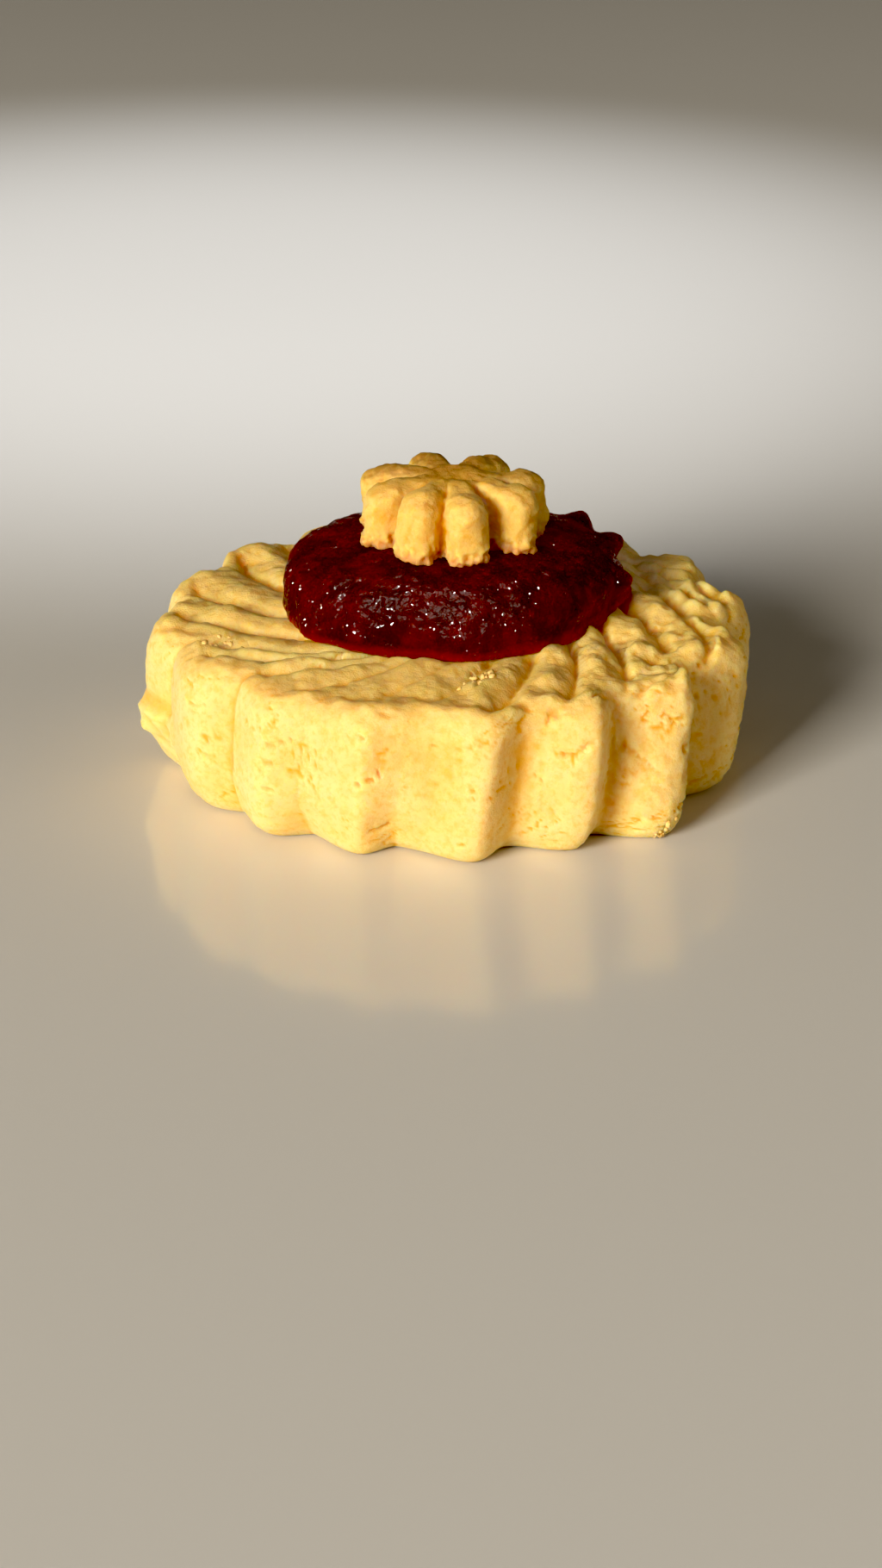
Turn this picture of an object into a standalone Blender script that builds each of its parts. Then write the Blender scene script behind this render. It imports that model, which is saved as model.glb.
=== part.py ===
"""Open pineapple tart: a fluted shortcrust base pressed in a mould, a mound of dark
pineapple jam set in its hollow, and a small eight-petalled pastry flower on the jam.

Metres, +Z up. The base stands on z = 0, and the mould's axis is the Z axis.
Run it with blender --background --python part.py, or from Blender's text editor.
"""

import math

import bpy
from mathutils import Vector, noise

MM = 0.001
GAP = 0.3 * MM  # clearance between two pieces that lie on each other

# Fluted base, at the crest of a flute
BELLY_RADIUS = 22.5 * MM  # widest section
BELLY_HEIGHT = 7.5 * MM
FOOT_RADIUS = 19.6 * MM  # flat underside
RIM_RADIUS = 20.3 * MM  # where the top face meets the rounded shoulder
RIM_HEIGHT = 11.6 * MM
LIP_HEIGHT = 12.0 * MM  # top face beside the hollow, where the dough is pushed up
HOLLOW_RADIUS = 11.0 * MM
HOLLOW_DEPTH = 3.4 * MM

# Flutes that the mould's wall presses into the side
FLUTES = 16
FLUTE_DEPTH = 2.1 * MM
FLUTE_UNEVEN = 0.25  # how much deeper they are on the +X side, as a share
FLUTE_PHASE = math.radians(-85.5)  # where one crest stands at the foot
FLUTE_LEAN = math.radians(4.0)  # how far a crest leans round between foot and rim
FLUTE_SKEW = 0.37  # how much of a flute's width its steeper flank takes
FLUTE_SHIFTS = ((-145.0, 5.5, 20.0), (-50.0, -3.3, 28.0), (-25.0, -2.0, 25.0))
# where the flutes stand off an even spacing: a direction, a turn and a width, in degrees
INNER_TOP = 17.0 * MM  # the top face inside this radius is clear of the flutes
BASE_STEPS = 11 * FLUTES

# Ridges that the mould leaves on the top face. They are dragged round like a pinwheel on the
# inner part of it, and run straight out from there
RIDGE_STARTS = (
    -164.5, -154.0, -140.0, -126.0, -111.4, -99.0, -84.0, -69.0, -56.0, -43.5, -30.0, -16.0,
    -2.0, 12.0, 26.0, 42.0, 58.0, 74.0, 91.0, 108.0, 125.0, 143.0, 166.6, 179.9,
)  # degrees round the rim, at the groove before each ridge
RIDGE_DEPTH = 1.0 * MM
SWEEP_START = 21.4 * MM  # radius at which the ridges begin to sweep
SWEEP_LEAST = 0.7  # tangent of the angle between a ridge and the radius
SWEEPS = ((-18.0, 1.7, 27.0, 85.0), (-166.0, 0.5, 20.0, 24.0))
# where they sweep more: a direction, how much more, and how far that reaches before and after

# Where hands and the oven left the base out of true: each a direction in degrees,
# millimetres outwards and a width in degrees
BASE_DENTS = ((145.0, -0.2, 30.0), (20.0, 0.2, 20.0), (-170.0, 0.4, 12.0))
FOOT_DENTS = ((-50.0, 2.0, 8.0), (-84.0, 0.4, 9.0))  # these fade out above the foot
RIM_RISES = ((150.0, 0.6, 34.0),)  # millimetres upwards
FLAKE = -167.0  # where a torn edge stands out from the side, in degrees
FLAKE_REACH = 1.2 * MM
BASE_LUMPS = 0.3 * MM

# Jam
JAM_RADIUS = 12.3 * MM
JAM_EQUATOR = 13.2 * MM  # height of its widest section
JAM_RISE = 4.3 * MM  # from there to the top
JAM_FULLNESS = 2.7  # over 2, the mound is fuller than half of an ellipse
JAM_FOOT = 0.3 * MM  # how far its wall draws in again down to the top of the base
JAM_LUMPS = 0.35 * MM
JAM_LOBES = (
    (2.0, 1.1, 14.0), (-30.0, -0.6, 18.0), (-84.5, 1.0, 10.0), (-122.0, 0.8, 9.0),
    (-140.0, 1.4, 9.0), (-158.0, 0.6, 10.0), (45.0, 0.7, 10.0), (95.0, 0.6, 14.0),
    (135.0, 0.6, 16.0),
)  # as BASE_DENTS
JAM_SHOULDERS = ((165.0, 0.3, 35.0), (25.0, 0.8, 14.0), (-20.0, 0.4, 14.0))  # above the equator
JAM_STEPS = 72

# Pastry flower
FLOWER_CENTRE = Vector((0.1 * MM, -0.5 * MM))
FLOWER_RADIUS = 6.9 * MM
FLOWER_CORE = 4.0 * MM  # radius of the round middle that the petals stand out from
FLOWER_TOP = 22.0 * MM
PETALS = (-157.0, -117.0, -79.0, -30.0, 5.0, 60.0, 110.0, 160.0)  # uneven, in degrees
PETAL_WIDTH = math.radians(18.0)  # from the middle of a petal to its edge
PETAL_SQUARENESS = 2.6  # over 2, a petal is blunter than half of an ellipse
CLEFT_DEPTH = 1.1 * MM  # how far the top face dips between two petals
FLOWER_LUMPS = 0.25 * MM
FLOWER_STEPS = 112


def smooth(low, high, value):
    """0 below low, 1 above high, and a smooth step between them."""
    share = min(1.0, max(0.0, (value - low) / (high - low)))
    return share * share * (3.0 - 2.0 * share)


def lumps(x, y, z, size):
    """Smooth noise from -1 to 1 whose lumps are about size across."""
    return noise.noise(Vector((x, y, z)) / size)


def turn_between(angle, other):
    """The smaller turn from other to angle, from -pi to pi."""
    return (angle - other + math.pi) % (2.0 * math.pi) - math.pi


def nearness(angle, middle, width):
    """1 in one direction round the tart, fading out to either side of it; both in degrees."""
    off = turn_between(angle, math.radians(middle)) / math.radians(width)
    return math.exp(-off * off)


def bulges(angle, table):
    """Sum of the smooth bulges that a table of (degrees, millimetres, width) puts here."""
    return sum(height * MM * nearness(angle, middle, width) for middle, height, width in table)


def arc(centre, radii, start, end, count, fullness=2.0):
    """Points of an elliptical arc in the profile plane, in degrees; more fullness squares it off."""
    points = []
    for i in range(count):
        angle = math.radians(start + (end - start) * i / (count - 1))
        c, s = math.cos(angle), math.sin(angle)
        r = centre[0] + radii[0] * math.copysign(abs(c) ** (2.0 / fullness), c)
        z = centre[1] + radii[1] * math.copysign(abs(s) ** (2.0 / fullness), s)
        points.append((r, z))
    return points


def turned(profile, steps):
    """The mesh that a profile of (radius, height) points makes when it turns once round Z."""
    outline = bpy.data.meshes.new("outline")
    edges = [(i, i + 1) for i in range(len(profile) - 1)]
    outline.from_pydata([(r, 0.0, z) for r, z in profile], edges, [])
    lathe = bpy.data.objects.new("lathe", outline)
    bpy.context.scene.collection.objects.link(lathe)
    screw = lathe.modifiers.new("turn", "SCREW")
    screw.steps = screw.render_steps = steps
    screw.use_merge_vertices = True
    screw.merge_threshold = 0.00001
    graph = bpy.context.evaluated_depsgraph_get()
    mesh = bpy.data.meshes.new_from_object(lathe.evaluated_get(graph))
    bpy.data.objects.remove(lathe)
    bpy.data.meshes.remove(outline)
    return mesh


def polar(point):
    return math.atan2(point.y, point.x), math.hypot(point.x, point.y)


def at(angle, radius, height):
    return Vector((radius * math.cos(angle), radius * math.sin(angle), height))


# ---------------------------------------------------------------- base


def base_profile():
    """From the middle of the hollow, out along the top face, over the shoulder, to the foot."""
    hollow = arc((0.0, LIP_HEIGHT), (HOLLOW_RADIUS, HOLLOW_DEPTH), -90, 0, 4, 2.4)
    top = []
    for start, end, rings in ((HOLLOW_RADIUS, INNER_TOP, 6), (INNER_TOP, RIM_RADIUS, 5)):
        for i in range(1, rings + 1):
            radius = start + (end - start) * i / rings
            fall = (radius - HOLLOW_RADIUS) / (RIM_RADIUS - HOLLOW_RADIUS)
            top.append((radius, LIP_HEIGHT + (RIM_HEIGHT - LIP_HEIGHT) * fall))
    top.pop()  # the shoulder begins there
    shoulder_size = (BELLY_RADIUS - RIM_RADIUS, RIM_HEIGHT - BELLY_HEIGHT)
    shoulder = arc((RIM_RADIUS, BELLY_HEIGHT), shoulder_size, 84, 0, 6, 3.0)
    side_size = (BELLY_RADIUS - FOOT_RADIUS, BELLY_HEIGHT)
    side = arc((FOOT_RADIUS, BELLY_HEIGHT), side_size, -22, -90, 6, 2.6)
    return hollow + top + shoulder + side + [(0.0, 0.0)]


def flute_at(angle, height):
    """1 on the crest of a flute and 0 in the valley beside it, with one flank steeper."""
    lean = FLUTE_LEAN * height / RIM_HEIGHT
    shift = 0.0
    for middle, by, width in FLUTE_SHIFTS:
        shift += math.radians(by) * nearness(angle, middle, width)
    share = (angle - FLUTE_PHASE - lean - shift) * FLUTES / (2.0 * math.pi) % 1.0
    if share < FLUTE_SKEW:
        return 1.0 - share / FLUTE_SKEW
    return (share - FLUTE_SKEW) / (1.0 - FLUTE_SKEW)


def ridge_at(angle):
    """Number of the ridge that begins here on the rim, and 1 on its crest or 0 in a groove."""
    turned_to = (math.degrees(angle) - RIDGE_STARTS[0]) % 360.0 + RIDGE_STARTS[0]
    ends = RIDGE_STARTS[1:] + (RIDGE_STARTS[0] + 360.0,)
    number = sum(turned_to >= end for end in ends)
    share = (turned_to - RIDGE_STARTS[number]) / (ends[number] - RIDGE_STARTS[number])
    return number, 1.0 - abs(2.0 * share - 1.0)


def sweep(angle):
    """Tangent of the angle that a ridge starting at the rim at this angle makes with the radius."""
    tangent = SWEEP_LEAST
    for middle, extra, before, after in SWEEPS:
        off = math.degrees(turn_between(angle, math.radians(middle)))
        tangent += extra * math.exp(-((off / (before if off < 0.0 else after)) ** 2))
    return tangent


def turn_inward(radius):
    """How far a ridge whose tangent is 1 turns between the rim and this radius."""
    return math.log(SWEEP_START / min(max(radius, HOLLOW_RADIUS), SWEEP_START))


def ridge_start(angle):
    """Where on the rim the ridge begins that stands here at the edge of the inner top."""
    turn = turn_inward(INNER_TOP)
    low, high = angle - 3.0 * turn, angle
    for _ in range(20):
        middle = (low + high) / 2.0
        if middle + sweep(middle) * turn > angle:
            high = middle
        else:
            low = middle
    return (low + high) / 2.0


def wall_shift(point, angle):
    """How far a point of the side moves outwards: sharp flutes in front, rounder on the left."""
    flank = flute_at(angle, point.z)
    angular = 0.05 * flank + 0.95 * smooth(0.0, 1.0, flank)
    rounded = math.sqrt(1.0 - (1.0 - flank) ** 2)
    raised = angular + (rounded - angular) * 0.6 * nearness(angle, -165.0, 45.0)
    depth = FLUTE_DEPTH * (1.0 + FLUTE_UNEVEN * math.cos(angle))
    depth *= 1.0 - 0.80 * nearness(angle, -120.0, 11.0) * smooth(0.5 * MM, 3.0 * MM, point.z)
    depth *= 1.0 - 0.65 * nearness(angle, -101.0, 8.0) * smooth(1.0 * MM, 4.0 * MM, point.z)
    depth *= 1.0 - 0.55 * nearness(angle, -82.0, 10.0) * smooth(8.0 * MM, 11.0 * MM, point.z)
    shift = bulges(angle, BASE_DENTS)
    shift += bulges(angle, FOOT_DENTS) * (1.0 - smooth(0.0, BELLY_HEIGHT, point.z))
    shift += BASE_LUMPS * smooth(0.0, 2.0 * MM, point.z) * lumps(*point, 7.0 * MM)
    edge = smooth(2.5 * MM, 6.0 * MM, point.z) * (1.0 - smooth(6.5 * MM, 7.5 * MM, point.z))
    shift += FLAKE_REACH * nearness(angle, FLAKE, 5.0) * edge
    return shift - depth * (1.0 - raised)


def top_shift(start, near_rim, x, y):
    """How far a point of the top face moves upwards: lumpy ropes on one side, low ridges on
    the other. start is where its ridge begins on the rim."""
    radius = math.hypot(x, y)
    ridge, flank = ridge_at(start)
    roped = nearness(start, -25.0, 55.0)
    narrow = min(1.0, 1.5 / math.hypot(1.0, sweep(start)))  # a slanting ridge is a narrow one
    depth = RIDGE_DEPTH * (1.0 - flank) ** 2 * (0.9 + 0.5 * roped) * narrow
    depth *= 1.0 - 0.7 * near_rim
    depth *= 1.0 - 0.6 * nearness(start, -112.0, 26.0)  # a thumb smeared these
    depth *= 1.0 - 0.5 * nearness(start, 50.0, 25.0)
    rise = bulges(start, RIM_RISES) * smooth(13.0 * MM, 20.0 * MM, radius)
    rise += BASE_LUMPS * lumps(x, y, 0.0, 5.0 * MM)
    clear_of_jam = smooth(13.5 * MM, 15.5 * MM, radius)
    blobs = lumps(radius, 5.0 * MM * ridge, 0.0, 1.6 * MM) * smooth(0.0, 0.6, flank)
    return rise + MM * (0.3 + 0.5 * roped) * blobs * clear_of_jam - depth


def pressed(point):
    """Moves a point of the plain turned base to where the mould and the baking leave it."""
    angle, radius = polar(point)
    if point.z <= BELLY_HEIGHT:
        out = radius + wall_shift(point, angle) * (radius > INNER_TOP)
        return at(angle, out, point.z)
    fluted = max(0.0, min(1.0, (radius - INNER_TOP) / (RIM_RADIUS - INNER_TOP)))
    out = radius + fluted * wall_shift(point, angle)
    start = ridge_start(angle)
    if radius < INNER_TOP:
        angle = start + sweep(start) * turn_inward(radius)  # the faces run along the ridges
    placed = at(angle, out, point.z)
    near_rim = smooth(RIM_RADIUS - 0.8 * MM, RIM_RADIUS + 0.4 * MM, radius)
    on_top = smooth(HOLLOW_RADIUS - 0.5 * MM, HOLLOW_RADIUS + 1.5 * MM, radius)
    on_top *= smooth(RIM_HEIGHT - 1.6 * MM, RIM_HEIGHT, point.z)
    placed.z += on_top * top_shift(start, near_rim, placed.x, placed.y)
    return placed


# ---------------------------------------------------------------- jam


def jam_profile():
    """From the top of the mound down its wall, in to the lip, and down into the hollow."""
    mound = arc((0.0, JAM_EQUATOR), (JAM_RADIUS, JAM_RISE), 90, 0, 10, JAM_FULLNESS)
    wall_size = (JAM_FOOT, JAM_EQUATOR - LIP_HEIGHT - GAP)
    wall = arc((JAM_RADIUS - JAM_FOOT, JAM_EQUATOR), wall_size, -30, -90, 3)
    lip = [(HOLLOW_RADIUS - GAP, LIP_HEIGHT)]
    bowl_size = (HOLLOW_RADIUS - GAP, HOLLOW_DEPTH - GAP)
    bowl = arc((0.0, LIP_HEIGHT), bowl_size, -30, -90, 3, 2.4)
    return mound + wall + lip + bowl


def jam_lumps(x, y):
    return JAM_LUMPS * lumps(x, y, 3.0 * MM, 4.0 * MM)


def jam_top(x, y):
    """Height of the mound's upper surface, away from its edge."""
    share = min(1.0, math.hypot(x, y) / JAM_RADIUS)
    rise = (1.0 - share**JAM_FULLNESS) ** (1.0 / JAM_FULLNESS)
    return JAM_EQUATOR + JAM_RISE * rise + jam_lumps(x, y)


def heaped(point):
    """Moves a point of the plain turned mound to the uneven heap that a spoon leaves."""
    angle, radius = polar(point)
    ragged = bulges(angle, JAM_LOBES) + 0.25 * MM * lumps(*point, 3.0 * MM)
    ragged *= 1.0 - 0.75 * smooth(LIP_HEIGHT + 0.5 * MM, LIP_HEIGHT + 3.0 * MM, point.z)
    ragged += bulges(angle, JAM_SHOULDERS) * smooth(JAM_EQUATOR, JAM_EQUATOR + 2.0 * MM, point.z)
    ragged *= smooth(LIP_HEIGHT, LIP_HEIGHT + GAP, point.z) * smooth(6.0 * MM, JAM_RADIUS, radius)
    height = point.z
    if height > JAM_EQUATOR:
        height += jam_lumps(point.x, point.y) * smooth(JAM_RADIUS, 9.0 * MM, radius)
    return at(angle, radius + ragged, height)


# ---------------------------------------------------------------- flower


def flower_profile():
    """Radius and height as shares: height 0 lies on the jam and 1 is the flower's top face."""
    top = [(0.0, 1.0), (0.25, 1.0), (0.45, 1.0)]
    shoulder = arc((0.62, 0.66), (0.38, 0.34), 84, 0, 5)
    return top + shoulder + [(0.99, 0.1), (0.93, 0.0), (0.45, 0.0), (0.0, 0.0)]


def petal(angle):
    """1 on the middle of a petal, falling to 0 in the cleft halfway to the next one."""
    off = sorted(abs(turn_between(angle, math.radians(middle))) for middle in PETALS)
    share = off[0] / min((off[0] + off[1]) / 2.0, PETAL_WIDTH)
    return math.sqrt(1.0 - min(share, 1.0) ** PETAL_SQUARENESS)


def seated(point):
    """Moves a point of the plain turned button into a petalled flower that sits on the jam."""
    angle, share = polar(point)
    cleft = 1.0 - petal(angle)
    notch = (FLOWER_RADIUS - FLOWER_CORE) * cleft
    notch -= FLOWER_LUMPS * lumps(math.cos(angle), math.sin(angle), point.z, 0.5)
    radius = share * (FLOWER_RADIUS - notch * smooth(0.2, 0.8, share))
    place = FLOWER_CENTRE + Vector((radius * math.cos(angle), radius * math.sin(angle)))
    foot = jam_top(place.x, place.y) + GAP
    top = FLOWER_TOP - CLEFT_DEPTH * cleft * smooth(0.2, 0.7, share)
    top += FLOWER_LUMPS * lumps(place.x, place.y, 0.0, 2.5 * MM)
    return Vector((place.x, place.y, foot + (top - foot) * point.z))


# ---------------------------------------------------------------- assembly


def material(name, colour, roughness):
    made = bpy.data.materials.new(name)
    made.use_nodes = True
    shader = made.node_tree.nodes["Principled BSDF"]
    shader.inputs["Base Color"].default_value = (*colour, 1.0)
    shader.inputs["Roughness"].default_value = roughness
    return made


def piece(name, profile, steps, shape, finish, collection):
    """One named object: a turned profile, reshaped point by point."""
    mesh = turned(profile, steps)
    mesh.name = name
    for vertex in mesh.vertices:
        vertex.co = shape(vertex.co)
    mesh.shade_smooth()
    mesh.materials.append(finish)
    collection.objects.link(bpy.data.objects.new(name, mesh))


def main():
    for old in list(bpy.data.objects):
        bpy.data.objects.remove(old)
    tart = bpy.data.collections.new("pineapple_tart")
    bpy.context.scene.collection.children.link(tart)
    pastry = material("pastry", (0.80, 0.56, 0.22), 0.75)
    jam = material("jam", (0.16, 0.006, 0.004), 0.2)
    piece("pastry_base", base_profile(), BASE_STEPS, pressed, pastry, tart)
    piece("pineapple_jam", jam_profile(), JAM_STEPS, heaped, jam, tart)
    piece("pastry_flower", flower_profile(), FLOWER_STEPS, seated, pastry, tart)


main()
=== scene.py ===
import math

import bpy
import numpy as np
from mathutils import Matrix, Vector, noise


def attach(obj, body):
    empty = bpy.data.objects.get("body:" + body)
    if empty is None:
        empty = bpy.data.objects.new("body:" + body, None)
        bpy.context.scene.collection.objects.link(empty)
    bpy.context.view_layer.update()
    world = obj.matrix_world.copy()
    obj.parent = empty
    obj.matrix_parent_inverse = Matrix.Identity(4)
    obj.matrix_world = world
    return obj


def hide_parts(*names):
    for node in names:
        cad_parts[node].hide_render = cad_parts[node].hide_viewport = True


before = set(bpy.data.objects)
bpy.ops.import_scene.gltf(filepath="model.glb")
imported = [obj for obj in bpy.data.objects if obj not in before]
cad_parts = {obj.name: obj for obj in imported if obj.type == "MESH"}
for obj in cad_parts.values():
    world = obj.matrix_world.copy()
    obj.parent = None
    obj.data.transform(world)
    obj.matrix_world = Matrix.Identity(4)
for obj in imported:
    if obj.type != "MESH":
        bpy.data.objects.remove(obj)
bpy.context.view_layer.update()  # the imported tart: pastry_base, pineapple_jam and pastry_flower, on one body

# ---------------------------------------------------------------- pastry base
# A ball of shortcrust pressed into a small fluted mould and knocked out of it. The wall of the
# mould leaves sixteen flutes on the side, and its lid leaves a ring of ridges on the top face,
# dragged round like a pinwheel. Baking splits the dough and leaves its surface crumbly.

MM = 0.001
GAP = 0.3 * MM
BELLY_RADIUS = 22.5 * MM
BELLY_HEIGHT = 7.5 * MM
FOOT_RADIUS = 19.6 * MM
RIM_RADIUS = 20.3 * MM
RIM_HEIGHT = 11.6 * MM
LIP_HEIGHT = 12.0 * MM
HOLLOW_RADIUS = 11.0 * MM
HOLLOW_DEPTH = 3.4 * MM
SIDE_FULLNESS = 2.6  # 2 is an ellipse, and more squares it off
HOLLOW_FULLNESS = 2.4

FLUTES = 16
FLUTE_DEPTH = 2.1 * MM
FLUTE_UNEVEN = 0.25
FLUTE_PHASE = math.radians(-85.5)
FLUTE_LEAN = math.radians(4.0)
FLUTE_SKEW = 0.37
FLUTES_BEGIN = 12.0 * MM  # from the middle, where the side's shape begins to move the top
FLUTES_FULL = 20.0 * MM
ROUNDED_FLUTES = (-165.0, 45.0)  # direction and width in degrees, as in the other pairs below

# Flutes pushed round from their even places: a direction, how far and a width, in degrees
FLUTE_SHIFTS = ((-145.0, 5.5, 20.0), (-50.0, -3.3, 28.0), (-25.0, -2.0, 25.0), (-101.0, -2.2, 6.0))
# Valleys shallower than the rest: a direction and a width in degrees, the share of the depth that
# is lost, and the heights in mm between which the loss comes in
SHALLOW_VALLEYS = (
    (-120.0, 11.0, 0.65, 0.0, 5.0), (-101.0, 8.0, 0.45, 0.0, 7.0), (-82.0, 10.0, 0.55, 8.0, 11.0),
)

RIDGE_STARTS = (-164.5, -154.0, -140.0, -126.0, -111.4, -99.0, -84.0, -69.0, -56.0, -43.5, -30.0, -16.0,
                -2.0, 12.0, 26.0, 42.0, 58.0, 74.0, 91.0, 108.0, 125.0, 143.0, 166.6, 179.9)  # at the rim
RIDGE_DEPTH = 0.85 * MM
CREASE_DEPTH = 0.27 * MM  # the sharp line along the bottom of each groove
ROPED_RIDGES = (-25.0, 55.0)
SMEARED_RIDGES = (-112.0, 26.0)
FAINT_RIDGES = (50.0, 25.0)
SWEEP_START = 21.4 * MM
SWEEP_LEAST = 0.7
SWEEPS = ((-18.0, 1.7, 27.0, 85.0), (-166.0, 0.5, 20.0, 24.0))  # direction, extra, widths before and after

# Bulges and dents: a direction in degrees, millimetres outwards or upwards, a width in degrees
BASE_DENTS = ((145.0, -0.2, 30.0), (20.0, 0.2, 20.0), (-170.0, 0.4, 12.0))
FOOT_DENTS = ((-50.0, 2.0, 8.0), (-84.0, 0.4, 9.0))
RIM_RISES = ((150.0, 0.1, 34.0),)
BASE_LUMPS = 0.3 * MM
FLAKE = (-167.0, 6.0)  # a rag of dough that stands off the side
FLAKE_REACH = 1.1 * MM
FLAKE_FOOT = 0.8 * MM
FLAKE_TIP = 4.6 * MM


def smooth(low, high, value):
    """0 below low, 1 above high, and a smooth step between them."""
    share = np.clip((value - low) / (high - low), 0.0, 1.0)
    return share * share * (3.0 - 2.0 * share)


def lumps(x, y, z, size):
    """Smooth noise from -1 to 1 whose lumps are about size across."""
    places = np.stack(np.broadcast_arrays(x, y, z), axis=-1) / size
    return np.array([noise.noise(Vector(place)) for place in places])


def turn_between(angle, other):
    """The smaller turn from other to angle, from -pi to pi."""
    return (angle - other + math.pi) % (2.0 * math.pi) - math.pi


def nearness(angle, middle, width):
    """1 in one direction round the tart, fading out to either side of it; both in degrees."""
    return np.exp(-((turn_between(angle, math.radians(middle)) / math.radians(width)) ** 2))


def bulges(angle, table):
    """Sum of the smooth bulges that a table like the ones above puts at each angle."""
    total = 0.0
    for middle, height, width in table:
        total = total + height * MM * nearness(angle, middle, width)
    return total


def arc(centre, radii, start, end, count, fullness=2.0):
    """Points of an elliptical arc in the profile plane, between two angles in degrees."""
    turns = np.radians(np.linspace(start, end, count))
    c, s = np.cos(turns), np.sin(turns)
    across = centre[0] + radii[0] * np.copysign(np.abs(c) ** (2.0 / fullness), c)
    up = centre[1] + radii[1] * np.copysign(np.abs(s) ** (2.0 / fullness), s)
    return list(zip(across.tolist(), up.tolist()))


def turned_blank(name, profile, segments):
    """A closed round blank: a point is extruded along the profile, then spun round the Z axis."""
    bpy.ops.object.select_all(action="DESELECT")
    bpy.ops.mesh.primitive_plane_add(size=MM, location=(profile[0][0], 0.0, profile[0][1]))
    blank = bpy.context.object
    blank.name = blank.data.name = name
    bpy.ops.object.transform_apply(location=True, rotation=True, scale=True)
    bpy.ops.object.mode_set(mode="EDIT")
    bpy.ops.mesh.merge(type="CENTER")
    for (radius, height), (wider, higher) in zip(profile, profile[1:]):
        step = (wider - radius, 0.0, higher - height)
        bpy.ops.mesh.extrude_vertices_move(TRANSFORM_OT_translate={"value": step})
    bpy.ops.mesh.select_all(action="SELECT")
    bpy.ops.mesh.spin(steps=segments, angle=2.0 * math.pi, center=(0.0, 0.0, 0.0), axis=(0.0, 0.0, 1.0))
    bpy.ops.mesh.select_all(action="SELECT")
    bpy.ops.mesh.remove_doubles(threshold=0.001 * MM)
    bpy.ops.mesh.normals_make_consistent(inside=False)
    bpy.ops.object.mode_set(mode="OBJECT")
    return blank


def add_modifier(piece, kind, **settings):
    """Adds a modifier to a piece and applies it."""
    modifier = piece.modifiers.new(kind.lower(), kind)
    for setting, value in settings.items():
        setattr(modifier, setting, value)
    bpy.context.view_layer.objects.active = piece
    bpy.ops.object.modifier_apply(modifier=modifier.name)


def points_of(piece):
    places = np.empty(len(piece.data.vertices) * 3)
    piece.data.vertices.foreach_get("co", places)
    return places.reshape(-1, 3)


def normals_of(piece):
    normals = np.empty(len(piece.data.vertices) * 3)
    piece.data.vertices.foreach_get("normal", normals)
    return normals.reshape(-1, 3)


def move_points(piece, places):
    piece.data.vertices.foreach_set("co", np.ascontiguousarray(places).ravel())
    piece.data.update()


def straight(start, end, count):
    """Evenly spaced points from start up to, and without, end."""
    shares = np.arange(count) / count
    return [(start[0] + (end[0] - start[0]) * share, start[1] + (end[1] - start[1]) * share)
            for share in shares.tolist()]


def base_profile():
    """From the middle of the foot out over the belly and the shoulder, in, and down the hollow."""
    foot = straight((0.0, 0.0), (FOOT_RADIUS, 0.0), 4)
    side_size = (BELLY_RADIUS - FOOT_RADIUS, BELLY_HEIGHT)
    side = arc((FOOT_RADIUS, BELLY_HEIGHT), side_size, -90, -2, 48, SIDE_FULLNESS)
    shoulder_size = (BELLY_RADIUS - RIM_RADIUS, RIM_HEIGHT - BELLY_HEIGHT)
    shoulder = arc((RIM_RADIUS, BELLY_HEIGHT), shoulder_size, 0, 88, 28, SIDE_FULLNESS)
    top = straight((RIM_RADIUS, RIM_HEIGHT), (HOLLOW_RADIUS, LIP_HEIGHT), 48)
    hollow = arc((0.0, LIP_HEIGHT), (HOLLOW_RADIUS, HOLLOW_DEPTH), 0, -90, 5, HOLLOW_FULLNESS)
    return foot + side + shoulder + top + hollow


def flute_at(angle, height):
    """1 on the crest of a flute, falling evenly to 0 in the valley beside it."""
    lean = FLUTE_LEAN * height / RIM_HEIGHT
    shifted = sum(math.radians(by) * nearness(angle, middle, width) for middle, by, width in FLUTE_SHIFTS)
    share = (angle - FLUTE_PHASE - lean - shifted) * FLUTES / (2.0 * math.pi) % 1.0
    return np.where(share < FLUTE_SKEW, 1.0 - share / FLUTE_SKEW,
                    (share - FLUTE_SKEW) / (1.0 - FLUTE_SKEW))


def ridge_at(angle):
    """Which ridge of the top lies here at the rim, and 1 on its crest, falling to 0 in the grooves."""
    starts = np.array(RIDGE_STARTS + (RIDGE_STARTS[0] + 360.0,))
    turned = (np.degrees(angle) - starts[0]) % 360.0 + starts[0]
    ridge = np.clip(np.searchsorted(starts, turned, "right") - 1, 0, len(RIDGE_STARTS) - 1)
    share = (turned - starts[ridge]) / (starts[ridge + 1] - starts[ridge])
    return ridge, 1.0 - np.abs(2.0 * share - 1.0)


def sweep(angle):
    """Tangent of the angle that a ridge starting at the rim at this angle makes with the radius."""
    tangent = SWEEP_LEAST
    for middle, extra, before, after in SWEEPS:
        off = np.degrees(turn_between(angle, math.radians(middle)))
        tangent = tangent + extra * np.exp(-((off / np.where(off < 0.0, before, after)) ** 2))
    return tangent


def rim_angle(angle, radius):
    """Where round the rim the ridge that runs through a point of the top begins."""
    turn = np.log(SWEEP_START / np.clip(radius, HOLLOW_RADIUS, SWEEP_START))
    low, high = angle - 3.0 * turn, angle
    for _ in range(20):
        middle = (low + high) / 2.0
        beyond = middle + sweep(middle) * turn > angle
        low, high = np.where(beyond, low, middle), np.where(beyond, middle, high)
    return (low + high) / 2.0


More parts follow.
